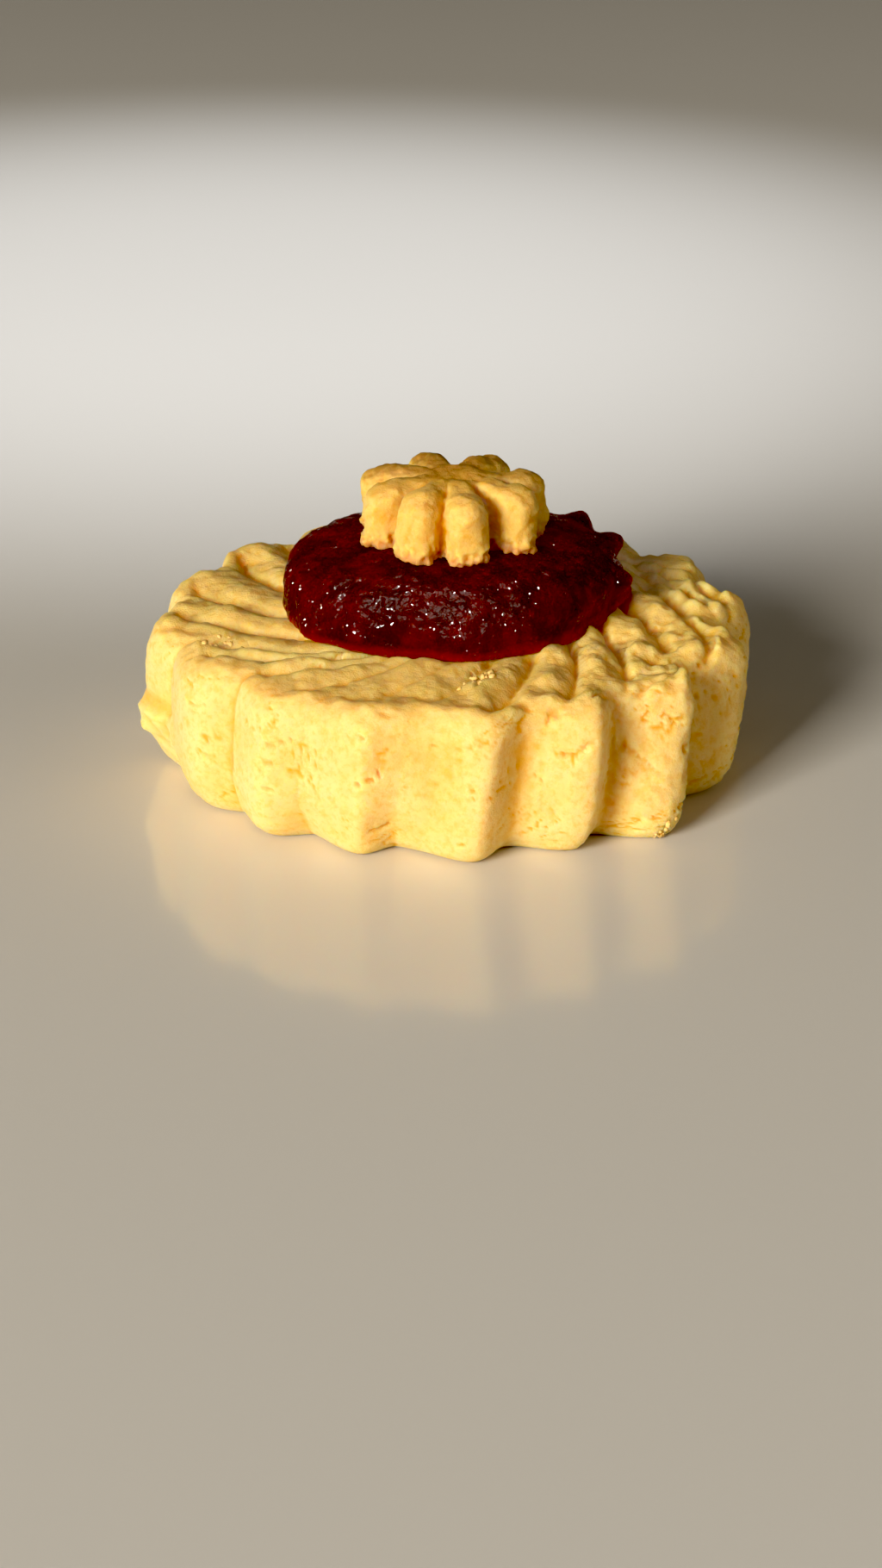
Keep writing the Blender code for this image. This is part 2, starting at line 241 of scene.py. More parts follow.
def side_shift(angle, x, y, z, flank):
    """How far a point of the side moves outwards: sharp flutes in front, rounder on the left."""
    angular = 0.05 * flank + 0.95 * smooth(0.0, 1.0, flank)
    rounded = np.sqrt(1.0 - (1.0 - flank) ** 2)
    raised = angular + (rounded - angular) * 0.6 * nearness(angle, *ROUNDED_FLUTES)
    shift = bulges(angle, BASE_DENTS)
    shift += bulges(angle, FOOT_DENTS) * (1.0 - smooth(0.0, BELLY_HEIGHT, z))
    shift += BASE_LUMPS * smooth(0.0, 2.0 * MM, z) * lumps(x, y, z, 7.0 * MM)
    depth = FLUTE_DEPTH * (1.0 + FLUTE_UNEVEN * np.cos(angle))
    for middle, width, lost, low, high in SHALLOW_VALLEYS:
        depth *= 1.0 - lost * nearness(angle, middle, width) * smooth(low * MM, high * MM, z)
    flake = nearness(angle, *FLAKE) * smooth(FLAKE_FOOT, FLAKE_TIP, z)
    flake *= 1.0 - smooth(FLAKE_TIP + 0.4 * MM, FLAKE_TIP + 1.4 * MM, z)
    shift += FLAKE_REACH * flake * (1.0 + 0.7 * lumps(x, y, z, 1.0 * MM))
    return shift - depth * (1.0 - raised)


def top_shift(angle, near_rim, x, y):
    """How far a point of the top moves upwards: lumpy ropes on the right, shingles on the left."""
    radius = np.hypot(x, y)
    ridge, flank = ridge_at(angle)
    roped, smeared = nearness(angle, *ROPED_RIDGES), nearness(angle, *SMEARED_RIDGES)
    side_on = np.clip(1.0 - flank + 0.15 * lumps(x, y, 0.0, 2.0 * MM), 0.0, 1.0)
    crease = np.exp(-((flank / 0.2) ** 2)) * (0.7 + 0.9 * lumps(x, y, 0.0, 1.1 * MM))
    narrow = np.minimum(1.0, 1.5 / np.hypot(1.0, sweep(angle)))  # a slanting ridge is a narrow one
    depth = RIDGE_DEPTH * side_on**2 * (0.9 + 0.5 * roped)
    depth += CREASE_DEPTH * crease * (1.0 - 0.6 * roped) * (1.0 - 0.6 * smeared)
    depth *= narrow * (1.0 - 0.7 * near_rim) * (1.0 - 0.7 * smeared)
    depth *= 1.0 - 0.5 * nearness(angle, *FAINT_RIDGES)
    blobs = lumps(x, y, 5.0 * MM * ridge, 1.9 * MM)  # each ridge has its own
    rise = bulges(angle, RIM_RISES) * smooth(13.0 * MM, 20.0 * MM, radius)
    rise += BASE_LUMPS * lumps(x, y, 0.0, 5.0 * MM)
    return rise + MM * (0.3 + 0.5 * roped) * blobs * smooth(0.0, 0.6, flank) - depth


def pressed(places):
    """Moves the points of the round blank to where the mould, hands and oven leave them."""
    x, y, z = places.T
    angle, radius = np.arctan2(y, x), np.hypot(x, y)
    fluted = smooth(FLUTES_BEGIN, FLUTES_FULL, radius)
    out = radius + fluted * side_shift(angle, x, y, z, flute_at(angle, z))
    x, y = out * np.cos(angle), out * np.sin(angle)
    near_rim = smooth(RIM_RADIUS - 0.8 * MM, RIM_RADIUS + 0.4 * MM, radius)
    beside_jam = smooth(HOLLOW_RADIUS - 0.5 * MM, HOLLOW_RADIUS + 1.5 * MM, radius)
    on_top = beside_jam * smooth(RIM_HEIGHT - 1.6 * MM, RIM_HEIGHT, z)
    height = z + on_top * top_shift(rim_angle(angle, out), near_rim, x, y)
    return np.stack((x, y, height), axis=1)


base = turned_blank("moulded_base", base_profile(), 45 * FLUTES)
move_points(base, pressed(points_of(base)))


def push_out(piece, distances):
    """Moves each point of a piece along its normal."""
    move_points(piece, points_of(piece) + normals_of(piece) * distances[:, None])


def grain(places, size, octaves=3):
    """Rough noise from about -1 to 1: each octave is half as wide and half as high as the last."""
    total, weight = 0.0, 0.0
    for octave in range(octaves):
        share = 0.5**octave
        total = total + share * lumps(*places.T, size * share)
        weight += share
    return total / weight


# Splits and breaks, each as (half width mm, depth mm, points), with the points as direction in
# degrees and height in mm on the side, and as direction in degrees and radius in mm on the top.
SIDE_SPLITS = (
    (0.35, 0.45, ((-71.5, 10.0), (-70.5, 10.7), (-67.0, 10.9))),
    (0.20, 0.4, ((-69.0, 7.9), (-66.5, 8.1), (-65.0, 8.8), (-62.5, 9.0))),
    (0.18, 0.5, ((-107.0, 6.2), (-105.0, 6.4), (-103.0, 6.9))),
    (0.14, 0.4, ((-106.5, 9.8), (-105.0, 9.6))),
    (0.16, 0.4, ((-106.0, 2.1), (-102.0, 2.7))),
    (0.12, 0.3, ((-94.0, 9.0), (-91.5, 9.2))),
    (0.12, 0.3, ((-74.0, 6.6), (-72.0, 5.8))),
    (0.14, 0.3, ((-57.0, 7.8), (-52.0, 6.6), (-48.0, 5.0))),
    (0.16, 0.4, ((-44.0, 6.4), (-41.5, 6.6))),
    (0.14, 0.4, ((-34.0, 7.6), (-29.0, 8.4))),
    (0.14, 0.3, ((-128.0, 7.6), (-124.0, 8.0), (-120.0, 8.6))),
    (0.12, 0.3, ((-126.5, 6.3), (-122.0, 6.8))),
    (0.12, 0.3, ((-127.0, 4.4), (-123.0, 4.8))),
    (0.12, 0.3, ((-147.0, 8.6), (-142.0, 9.0))),
    (0.12, 0.3, ((-146.0, 5.2), (-140.0, 5.0))),
)
TOP_BREAKS = (
    (0.45, 0.4, ((-62.0, 20.8), (-58.0, 20.2), (-53.0, 20.8), (-48.0, 20.2), (-42.0, 20.8))),
    (0.45, 0.4, ((-40.0, 20.8), (-34.0, 20.2), (-28.0, 20.7), (-20.0, 20.2))),
    (0.50, 0.5, ((-45.0, 18.2), (-41.0, 19.3))),
    (0.50, 0.4, ((-15.0, 15.4), (-17.5, 16.8))),
    (0.35, 0.8, ((-136.5, 16.2), (-138.0, 18.0))),
    (0.30, 0.5, ((-126.0, 15.4), (-128.0, 16.4))),
    (0.30, 0.6, ((-84.0, 14.2), (-82.5, 15.6), (-84.0, 17.0))),
    (0.35, 0.4, ((178.0, 16.4), (184.0, 16.8))),
)


def split_depth(across, along, splits):
    """How deep the splits cut at points of a plane: V grooves along each row of segments."""
    depth = np.zeros(len(across))
    for half_width, deepest, row in splits:
        row = np.array(row)
        lengths = np.linalg.norm(np.diff(row, axis=0), axis=1)
        reach = np.concatenate(([0.0], np.cumsum(lengths))) / lengths.sum()
        for i in range(len(lengths)):
            step = row[i + 1] - row[i]
            share = ((across - row[i][0]) * step[0] + (along - row[i][1]) * step[1]) / step.dot(step)
            share = np.clip(share, 0.0, 1.0)
            off = np.hypot(across - row[i][0] - share * step[0], along - row[i][1] - share * step[1])
            run = reach[i] + share * (reach[i + 1] - reach[i])
            width = half_width * (0.35 + 0.65 * np.sin(math.pi * np.clip(run, 0.04, 0.96)))
            depth = np.maximum(depth, deepest * MM * np.clip(1.0 - off / width, 0.0, 1.0) ** 0.7)
    return depth


def unrolled(row):
    """A row of side points, in mm along the belly and mm of height."""
    return tuple((math.radians(turn) * BELLY_RADIUS / MM, height) for turn, height in row)


def flat(row):
    """A row of top points, in mm of x and y."""
    return tuple((r * math.cos(math.radians(turn)), r * math.sin(math.radians(turn)))
                 for turn, r in row)


places = points_of(base)
off_foot = smooth(0.0, 0.8 * MM, places[:, 2])
jagged = 0.25 * grain(places, 0.9 * MM, 2)
side = np.arctan2(places[:, 1], places[:, 0]) * BELLY_RADIUS / MM
cut = split_depth(side + jagged, places[:, 2] / MM + jagged,
                  [(w, d, unrolled(row)) for w, d, row in SIDE_SPLITS])
cut *= 1.0 - smooth(0.6, 0.8, normals_of(base)[:, 2])
broken = split_depth(places[:, 0] / MM + jagged, places[:, 1] / MM + jagged,
                     [(w, d, flat(row)) for w, d, row in TOP_BREAKS])
broken *= smooth(0.3, 0.6, normals_of(base)[:, 2])
push_out(base, -(cut + broken) * off_foot)

CRUMB_HEIGHT = 0.11 * MM
PIT_DEPTH = 0.20 * MM
SWELL_HEIGHT = 0.20 * MM
RIM_ROUGHNESS = 0.20 * MM
KNOB_HEIGHT = 0.22 * MM
TOP_GRAIN = 0.06 * MM
TEAR_DEPTH = 0.14 * MM
TEAR_SLANT = 0.35  # how far the short tears on the side climb as they run round it
TEAR_WIDTH = 0.07  # as a share of the noise that draws them
BACK = math.radians(90.0)
CRUMBLIEST = (-36.0, 20.0)  # the driest dough
SMOOTHEST = (-93.0, 6.0)
KNOBBLIEST = (-35.0, 60.0)
KNOBBLY_TOO = (-170.0, 40.0)


def tears(places):
    """0 to 1 in the short, slanting tears that the dough opens on its side as it bakes."""
    run = turn_between(np.arctan2(places[:, 1], places[:, 0]), BACK + math.pi) * BELLY_RADIUS
    climb = places[:, 2] - TEAR_SLANT * run
    line = lumps(run, climb * 3.0, 0.0, 2.6 * MM) + 0.25 * lumps(run, climb, 7.0 * MM, 0.7 * MM)
    patch = smooth(0.0, 0.35, lumps(run, climb * 1.5, 20.0 * MM, 3.0 * MM))
    return np.clip(1.0 - np.abs(line) / TEAR_WIDTH, 0.0, 1.0) * patch


places = points_of(base)
round_at = np.arctan2(places[:, 1], places[:, 0])
facing_up = smooth(0.5, 0.8, normals_of(base)[:, 2])
crumbling = 1.0 + 1.6 * nearness(round_at, *CRUMBLIEST)
uneven = 1.0 - nearness(round_at, *SMOOTHEST)
torn = tears(places) * (1.0 - facing_up) * uneven * crumbling
pits = smooth(0.42, 0.62, grain(places * (1.0, 1.0, 1.8), 1.3 * MM, 2))
on_rim = np.exp(-(((places[:, 2] - RIM_HEIGHT) / MM) ** 2))
on_rim *= smooth(16.0 * MM, 18.0 * MM, np.hypot(places[:, 0], places[:, 1]))
knobbly = 0.4 + 0.6 * nearness(round_at, *KNOBBLIEST) + 0.2 * nearness(round_at, *KNOBBLY_TOO)
rough = CRUMB_HEIGHT * crumbling * grain(places, 0.7 * MM, 3)
rough += KNOB_HEIGHT * facing_up * knobbly * grain(places, 1.6 * MM, 2)
rough += TOP_GRAIN * facing_up * grain(places, 0.5 * MM, 2)
swell = SWELL_HEIGHT * grain(places, 3.0 * MM, 2)
swell += RIM_ROUGHNESS * on_rim * grain(places, 1.1 * MM, 2)
push_out(base, (swell + rough - PIT_DEPTH * pits - TEAR_DEPTH * torn) * off_foot)


def sunk(piece, rounds, full):
    """How far each point lies under a smoothed copy of its piece, as a share of full."""
    edges = np.empty(len(piece.data.edges) * 2, dtype=np.int32)
    piece.data.edges.foreach_get("vertices", edges)
    start, end = edges.reshape(-1, 2).T
    places = points_of(piece)
    meeting = np.bincount(edges, minlength=len(places))
    smoothed = places.copy()
    for _ in range(rounds):
        total = np.empty_like(smoothed)
        for axis in range(3):
            value = smoothed[:, axis]
            total[:, axis] = np.bincount(start, value[end], len(places))
            total[:, axis] += np.bincount(end, value[start], len(places))
        smoothed = total / meeting[:, None]
    under = np.einsum("ij,ij->i", smoothed - places, normals_of(piece)) / full
    return np.clip(under, -1.0, 1.0)


def store(piece, name, values):
    """Keeps a number for each point of a piece, for its material to read."""
    attribute = piece.data.attributes.new(name, "FLOAT", "POINT")
    attribute.data.foreach_set("value", values.astype(np.float32))


# Painted shade: a deeper orange is laid in small hollows, in the broad valleys of the flutes and ridges, and
# in the tears and pits.
fine = sunk(base, 6, 0.08 * MM)
broad = sunk(base, 120, 0.8 * MM)
painted_crevice_shade = 0.5 * np.clip(fine, 0, 1) + (0.25 + 0.5 * facing_up) * np.clip(broad, 0, 1)
painted_crevice_shade += 0.8 * torn + 0.5 * pits * uneven
store(base, "painted_crevice_shade", np.clip(painted_crevice_shade, 0.0, 1.0))
# Painted highlight: points standing proud of a smoothed copy of the base are paler.
store(base, "proud", np.clip(-0.4 * fine - 0.6 * broad, 0.0, 1.0))
base.data.shade_smooth()


def new_group(name, inputs, outputs):
    """An empty shader group with its sockets; each socket is (name, kind, value or None)."""
    group = bpy.data.node_groups.new(name, "ShaderNodeTree")
    for in_out, sockets in (("INPUT", inputs), ("OUTPUT", outputs)):
        for label, kind, value in sockets:
            socket = group.interface.new_socket(label, in_out=in_out, socket_type=kind)
            if value is not None:
                socket.default_value = value
    return group


def node(tree, kind, inputs=(), **settings):
    """Adds a node. inputs holds (socket name or number, value or output socket to link)."""
    made = tree.nodes.new(kind)
    for setting, value in settings.items():
        setattr(made, setting, value)
    for socket, value in inputs:
        if isinstance(value, bpy.types.NodeSocket):
            tree.links.new(value, made.inputs[socket])
        else:
            made.inputs[socket].default_value = value
    return made


def mixed(tree, share, first, second, blend="MIX"):
    """The colour that a Mix node makes of two colours."""
    mix = node(tree, "ShaderNodeMix", (("Factor", share),), data_type="RGBA", blend_type=blend)
    for number, colour in ((6, first), (7, second)):
        if isinstance(colour, bpy.types.NodeSocket):
            tree.links.new(colour, mix.inputs[number])
        else:
            mix.inputs[number].default_value = (*colour, 1.0)
    return mix.outputs[2]


def ranged(tree, value, low, high, to_low=0.0, to_high=1.0):
    """A value mapped from one range to another, held at the ends."""
    return node(tree, "ShaderNodeMapRange", (("Value", value), ("From Min", low),
                ("From Max", high), ("To Min", to_low), ("To Max", to_high))).outputs["Result"]


def noise_map(tree, place, size, detail=2.0, rough=0.6):
    """Noise whose blotches are about size across."""
    return node(tree, "ShaderNodeTexNoise", (("Vector", place), ("Scale", 1.0 / size),
                ("Detail", detail), ("Roughness", rough))).outputs[0]


PASTRY_PALE = (0.90, 0.67, 0.29)
PASTRY_GOLD = (0.84, 0.53, 0.135)
PASTRY_DEEP = (0.84, 0.45, 0.05)
PASTRY_TAN = (0.83, 0.54, 0.155)


def crumb_group():
    """Colour and grain of baked shortcrust: golden body, paler where proud (painted highlight, and a random
    tone on loose crumbs), deeper in crevices (painted shade).
    """
    group = new_group("baked crumb", (
        ("Painted_crevice_shade", "NodeSocketFloat", 0.0), ("Proud", "NodeSocketFloat", 0.0),
        ("Browned", "NodeSocketFloat", 0.0)), (
        ("Color", "NodeSocketColor", None), ("Normal", "NodeSocketVector", None)))
    given = group.nodes.new("NodeGroupInput").outputs
    place = group.nodes.new("ShaderNodeTexCoord").outputs["Object"]
    patches = ranged(group, noise_map(group, place, 4.0 * MM), 0.35, 0.65)
    specks = ranged(group, noise_map(group, place, 0.5 * MM, 3.0, 0.7), 0.48, 0.68)
    flecks = ranged(group, noise_map(group, place, 1.1 * MM, 3.0), 0.56, 0.72)
    body = mixed(group, ranged(group, patches, 0.0, 1.0, 0.5, 1.0), PASTRY_GOLD, PASTRY_PALE)
    # painted highlight: proud parts turn pale
    body = mixed(group, ranged(group, given["Proud"], 0.0, 0.6, 0.0, 0.7), body, PASTRY_PALE)
    body = mixed(group, ranged(group, given["Browned"], 0.0, 1.0, 0.0, 0.85), body, PASTRY_TAN)
    body = mixed(group, ranged(group, specks, 0.0, 1.0, 0.0, 0.45), body, PASTRY_DEEP)
    body = mixed(group, ranged(group, flecks, 0.0, 1.0, 0.0, 0.4), body, PASTRY_DEEP)
    # painted shade: the colour turns deep orange by the crevice share
    body = mixed(group, ranged(group, given["Painted_crevice_shade"], 0.1, 0.9, 0.0, 0.9), body, PASTRY_DEEP)
    coarse = node(group, "ShaderNodeBump", (("Strength", 0.8), ("Distance", 0.11 * MM),
                  ("Height", noise_map(group, place, 0.45 * MM, 3.0, 0.65))))
    fine_bump = node(group, "ShaderNodeBump", (("Strength", 0.8), ("Distance", 0.05 * MM),
                     ("Height", noise_map(group, place, 0.14 * MM)), ("Normal", coarse.outputs[0])))
    ends = group.nodes.new("NodeGroupOutput")
    group.links.new(body, ends.inputs["Color"])
    group.links.new(fine_bump.outputs[0], ends.inputs["Normal"])
    return group


baked_crumb = crumb_group()


def browned_on_top(tree):
    """The oven's heat tans what faces up."""
    facing = node(tree, "ShaderNodeNewGeometry").outputs["Normal"]
    upward = node(tree, "ShaderNodeSeparateXYZ", ((0, facing),)).outputs["Z"]
    return ranged(tree, upward, 0.3, 0.9)


def pastry_material(name, depth):
    """Shortcrust finish, tanned on top; light soaks in to depth."""
    material = bpy.data.materials.new(name)
    material.use_nodes = True
    tree = material.node_tree
    shader = tree.nodes["Principled BSDF"]
    shader.inputs["Roughness"].default_value = 0.72
    shader.inputs["Specular IOR Level"].default_value = 0.3
    shader.inputs["Subsurface Weight"].default_value = 1.0 if depth else 0.0
    shader.inputs["Subsurface Radius"].default_value = (1.0, 0.7, 0.24)
    shader.inputs["Subsurface Scale"].default_value = depth
    crumb = node(tree, "ShaderNodeGroup", node_tree=baked_crumb)
    # these shares carry painted shade in crevices, and a paler tone where proud (painted highlight on base and
    # flower)
    for socket in ("Painted_crevice_shade", "Proud"):
        reader = node(tree, "ShaderNodeAttribute", attribute_name=socket.lower())
        tree.links.new(reader.outputs["Fac"], crumb.inputs[socket])
    tree.links.new(browned_on_top(tree), crumb.inputs["Browned"])
    tree.links.new(crumb.outputs["Color"], shader.inputs["Base Color"])
    tree.links.new(crumb.outputs["Normal"], shader.inputs["Normal"])
    return material


base.data.materials.append(pastry_material("baked shortcrust", 1.8 * MM))
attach(base, "root")
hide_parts("pastry_base")

# ---------------------------------------------------------------- crumbs on the base
# Shortcrust is crumbs of flour and butter that barely hold together, and some have come loose and
# cling in clusters to the top, the foot and the side. Each is the same rough crumb, turned and
# sized at random.

CRUMBS = 60
CRUMB_LEAST = 0.12 * MM
CRUMB_MOST = 0.30 * MM
# The middle of each cluster and how far it spreads, in mm: x, y, z, spread
CRUMB_CLUSTERS = (
    (1.9, -15.6, 11.8, 0.7), (-16.5, -8.1, 11.8, 0.8), (14.8, -16.3, 0.8, 0.7), (20.9, -9.6, 6.4, 0.5),
)


def crumb_shape():
    """Points and faces of one rough crumb, about 1 in radius."""
    bpy.ops.object.select_all(action="DESELECT")
    bpy.ops.mesh.primitive_ico_sphere_add(subdivisions=1, radius=1.0)
    crumb = bpy.context.object
    points = points_of(crumb)
    points *= (1.0 + 0.45 * lumps(*points.T, 0.8))[:, None]
    faces = np.array([face.vertices[:] for face in crumb.data.polygons])
    bpy.data.objects.remove(crumb)
    return points, faces


def strewn(name, middles, radii, seed):
    """One piece made of a rough crumb at each of the middles."""
    draw = np.random.default_rng(seed)
    points, faces = crumb_shape()
    turns, _ = np.linalg.qr(draw.normal(size=(len(middles), 3, 3)))
    turns *= np.linalg.det(turns)[:, None, None]
    stretch = draw.uniform(0.65, 1.35, (len(middles), 1, 3)) * radii[:, None, None]
    placed = (points * stretch) @ turns + middles[:, None, :]
    joined = faces + len(points) * np.arange(len(middles))[:, None, None]
    mesh = bpy.data.meshes.new(name)
    mesh.from_pydata(placed.reshape(-1, 3).tolist(), [], joined.reshape(-1, 3).tolist())
    piece = bpy.data.objects.new(name, mesh)
    bpy.context.collection.objects.link(piece)
    mesh.shade_smooth()
    # loose crumbs carry no painted crevice shade
    store(piece, "painted_crevice_shade", np.zeros(len(mesh.vertices)))
    store(piece, "proud", np.repeat(draw.uniform(0.0, 1.0, len(middles)), len(points)))
    return piece


def on_skin(piece, wanted, seed):
    """Random places for crumbs where they are wanted on a skin, and radii: mostly small ones."""
    draw = np.random.default_rng(seed)
    area = np.zeros(len(piece.data.vertices))
    for face in piece.data.polygons:
        area[face.vertices[0]] += face.area
    share = area * wanted
    chosen = draw.choice(len(share), CRUMBS, replace=False, p=share / share.sum())
    radii = CRUMB_LEAST + (CRUMB_MOST - CRUMB_LEAST) * draw.power(0.45, CRUMBS)
    proud = draw.uniform(-0.4, 0.4, CRUMBS) * radii
    return points_of(piece)[chosen] + normals_of(piece)[chosen] * proud[:, None], radii


near = sum(np.exp(-((np.linalg.norm(points_of(base) / MM - middle, axis=1) / spread) ** 2))
           for *middle, spread in CRUMB_CLUSTERS)
middles, radii = on_skin(base, near, 11)
middles[:, 2] = np.maximum(middles[:, 2], 1.6 * radii)  # none sinks into the table
crumbs = strewn("surface_crumbs", middles, radii, 12)
crumbs.data.materials.append(pastry_material("loose crumb", 0.0))
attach(crumbs, "root")

# ---------------------------------------------------------------- jam
# Pineapple cooked down with sugar and spices to a dark red, sticky paste. A spoonful is set in
# the hollow and heaps up over it. Its pulp makes it grainy, and the syrup makes it glisten.

JAM_RADIUS = 12.3 * MM
JAM_EQUATOR = 13.2 * MM
JAM_RISE = 4.3 * MM
JAM_FULLNESS = 2.7
JAM_FOOT = 0.3 * MM
JAM_LUMPS = 0.35 * MM
JAM_LOBES = (
    (2.0, 1.1, 14.0), (-30.0, -0.6, 18.0), (-84.5, 1.0, 10.0), (-122.0, 0.8, 9.0),
    (-140.0, 1.4, 9.0), (-158.0, 0.6, 10.0), (45.0, 0.7, 10.0), (95.0, 0.6, 14.0), (135.0, 0.6, 16.0),
)
JAM_SHOULDERS = ((165.0, 0.3, 35.0), (25.0, 0.8, 14.0), (-20.0, 0.4, 14.0))  # above the equator
PULP_LUMPS = 0.30 * MM
PULP_GRAINS = 0.16 * MM
PULP_TIPS = ((9.6, 6.4, 15.8), (12.2, 4.3, 15.0), (12.6, -1.8, 14.2))  # ends of strings, in mm
TIP_LENGTH = 1.1 * MM
TIP_RADIUS = 0.9  # mm
EDGE_GLOW_HEIGHT = 1.6 * MM  # how far up from the lip the jam's edge is painted amber for the light showing through it
JAM_GRID = 0.16 * MM


def jam_profile():
    """From the bottom of the hollow up its side, out to the lip, and over the mound."""
    bowl_size = (HOLLOW_RADIUS - GAP, HOLLOW_DEPTH - GAP)
    bowl = arc((0.0, LIP_HEIGHT), bowl_size, -90, -20, 8, HOLLOW_FULLNESS)
    wall_size = (JAM_FOOT, JAM_EQUATOR - LIP_HEIGHT + GAP)
    wall = arc((JAM_RADIUS - JAM_FOOT, JAM_EQUATOR), wall_size, -90, 0, 5)
    mound = arc((0.0, JAM_EQUATOR), (JAM_RADIUS, JAM_RISE), 2, 90, 45, JAM_FULLNESS)
    return bowl + wall + mound


def jam_lumps(x, y):
    """How far the top of the mound stands above a smooth one."""
    return JAM_LUMPS * lumps(x, y, 3.0 * MM, 4.0 * MM)


def heaped(places):
    """Moves the points of the round mound to the uneven heap that a spoon leaves."""
    x, y, z = places.T
    angle, radius = np.arctan2(y, x), np.hypot(x, y)
    ragged = bulges(angle, JAM_LOBES) + 0.25 * MM * lumps(x, y, z, 3.0 * MM)
    ragged *= 1.0 - 0.75 * smooth(LIP_HEIGHT + 0.5 * MM, LIP_HEIGHT + 3.0 * MM, z)
    ragged += bulges(angle, JAM_SHOULDERS) * smooth(JAM_EQUATOR, JAM_EQUATOR + 2.0 * MM, z)
    ragged *= smooth(LIP_HEIGHT - 0.5 * MM, LIP_HEIGHT + GAP, z) * smooth(6.0 * MM, JAM_RADIUS, radius)
    height = z + np.where(z > JAM_EQUATOR, jam_lumps(x, y) * smooth(JAM_RADIUS, 9.0 * MM, radius), 0)
    out = radius + ragged
    return np.stack((out * np.cos(angle), out * np.sin(angle), height), axis=1)


jam = turned_blank("pineapple_paste", jam_profile(), 360)
move_points(jam, heaped(points_of(jam)))
add_modifier(jam, "REMESH", mode="VOXEL", voxel_size=JAM_GRID)
places = points_of(jam)
open_air = smooth(LIP_HEIGHT - 0.8 * MM, LIP_HEIGHT + 0.6 * MM, places[:, 2])
pulp = PULP_LUMPS * grain(places, 2.2 * MM, 2) + PULP_GRAINS * grain(places, 0.8 * MM, 2)
for tip in PULP_TIPS:
    off = np.linalg.norm(places / MM - tip, axis=1)
    pulp += TIP_LENGTH * np.exp(-((off / TIP_RADIUS) ** 2))
push_out(jam, pulp * open_air)
# Painted glow: the jam's lowest edge, near the lip, is marked to be painted amber.
store(jam, "painted_edge_glow", 1.0 - smooth(0.0, EDGE_GLOW_HEIGHT, points_of(jam)[:, 2] - LIP_HEIGHT))
jam.data.shade_smooth()

JAM_DARK = (0.036, 0.0008, 0.0006)
JAM_RED = (0.090, 0.002, 0.0015)
JAM_AMBER = (0.40, 0.03, 0.006)
CRYSTAL = 0.14 * MM
CRYSTAL_TILT = 1.4


def jam_material():
    """Dark pulp that light comes through, lifted by a painted glow and painted amber at its thin edge, under a
    coat that glints on some sugar crystals.
    """
    material = bpy.data.materials.new("pineapple jam")
    material.use_nodes = True
    tree = material.node_tree
    shader = tree.nodes["Principled BSDF"]
    shader.inputs["Roughness"].default_value = 0.45
    shader.inputs["Specular IOR Level"].default_value = 0.1
    shader.inputs["Coat Roughness"].default_value = 0.06
    shader.inputs["Subsurface Weight"].default_value = 1.0
    shader.inputs["Subsurface Radius"].default_value = (1.0, 0.12, 0.06)
    shader.inputs["Subsurface Scale"].default_value = 4.5 * MM
    shader.inputs["Emission Strength"].default_value = 0.55  # painted glow, standing in for light that comes through the heap
    place = tree.nodes.new("ShaderNodeTexCoord").outputs["Object"]
    clots, strings = noise_map(tree, place, 2.4 * MM), noise_map(tree, place, 0.7 * MM, 3.0)
    colour = mixed(tree, ranged(tree, clots, 0.42, 0.72), JAM_DARK, JAM_RED)
    colour = mixed(tree, ranged(tree, strings, 0.62, 0.85, 0.0, 0.35), colour, JAM_AMBER)
    # painted glow: the jam's mottled colour, before its edge is painted amber, is given off as light
    tree.links.new(colour, shader.inputs["Emission Color"])
    # painted glow: the edge near the lip turns amber
    painted_edge_glow = node(tree, "ShaderNodeAttribute", attribute_name="painted_edge_glow").outputs["Fac"]
    colour = mixed(tree, ranged(tree, painted_edge_glow, 0.5, 1.0, 0.0, 0.35), colour, JAM_AMBER)
    tree.links.new(colour, shader.inputs["Base Color"])
    grains = node(tree, "ShaderNodeTexVoronoi", (("Vector", place), ("Scale", 1.0 / (0.5 * MM))),
                  feature="SMOOTH_F1")
    domes = node(tree, "ShaderNodeMath", ((0, grains.outputs["Distance"]), (1, 2.0)), operation="POWER")
    pulp = node(tree, "ShaderNodeBump", (("Strength", 1.0), ("Distance", 0.22 * MM),
                ("Height", domes.outputs[0])), invert=True)
    sugar = node(tree, "ShaderNodeBump", (("Strength", 0.8), ("Distance", 0.08 * MM),
                 ("Height", noise_map(tree, place, 0.22 * MM, 1.0)), ("Normal", pulp.outputs[0])))
    crystals = node(tree, "ShaderNodeTexVoronoi", (("Vector", place), ("Scale", 1.0 / CRYSTAL)))
    tilt = node(tree, "ShaderNodeVectorMath", ((0, crystals.outputs["Color"]), (1, (0.5, 0.5, 0.5))),
                operation="SUBTRACT")
    tilted = node(tree, "ShaderNodeVectorMath", ((0, tilt.outputs[0]), (1, (CRYSTAL_TILT,) * 3),
                  (2, sugar.outputs[0])), operation="MULTIPLY_ADD")
    facets = node(tree, "ShaderNodeVectorMath", ((0, tilted.outputs[0]),), operation="NORMALIZE")
    wet = node(tree, "ShaderNodeSeparateColor", ((0, crystals.outputs["Color"]),)).outputs["Blue"]
    tree.links.new(ranged(tree, wet, 0.64, 0.66), shader.inputs["Coat Weight"])
    tree.links.new(sugar.outputs[0], shader.inputs["Normal"])
    tree.links.new(facets.outputs[0], shader.inputs["Coat Normal"])
    return material


jam.data.materials.append(jam_material())
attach(jam, "root")
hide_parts("pineapple_jam")

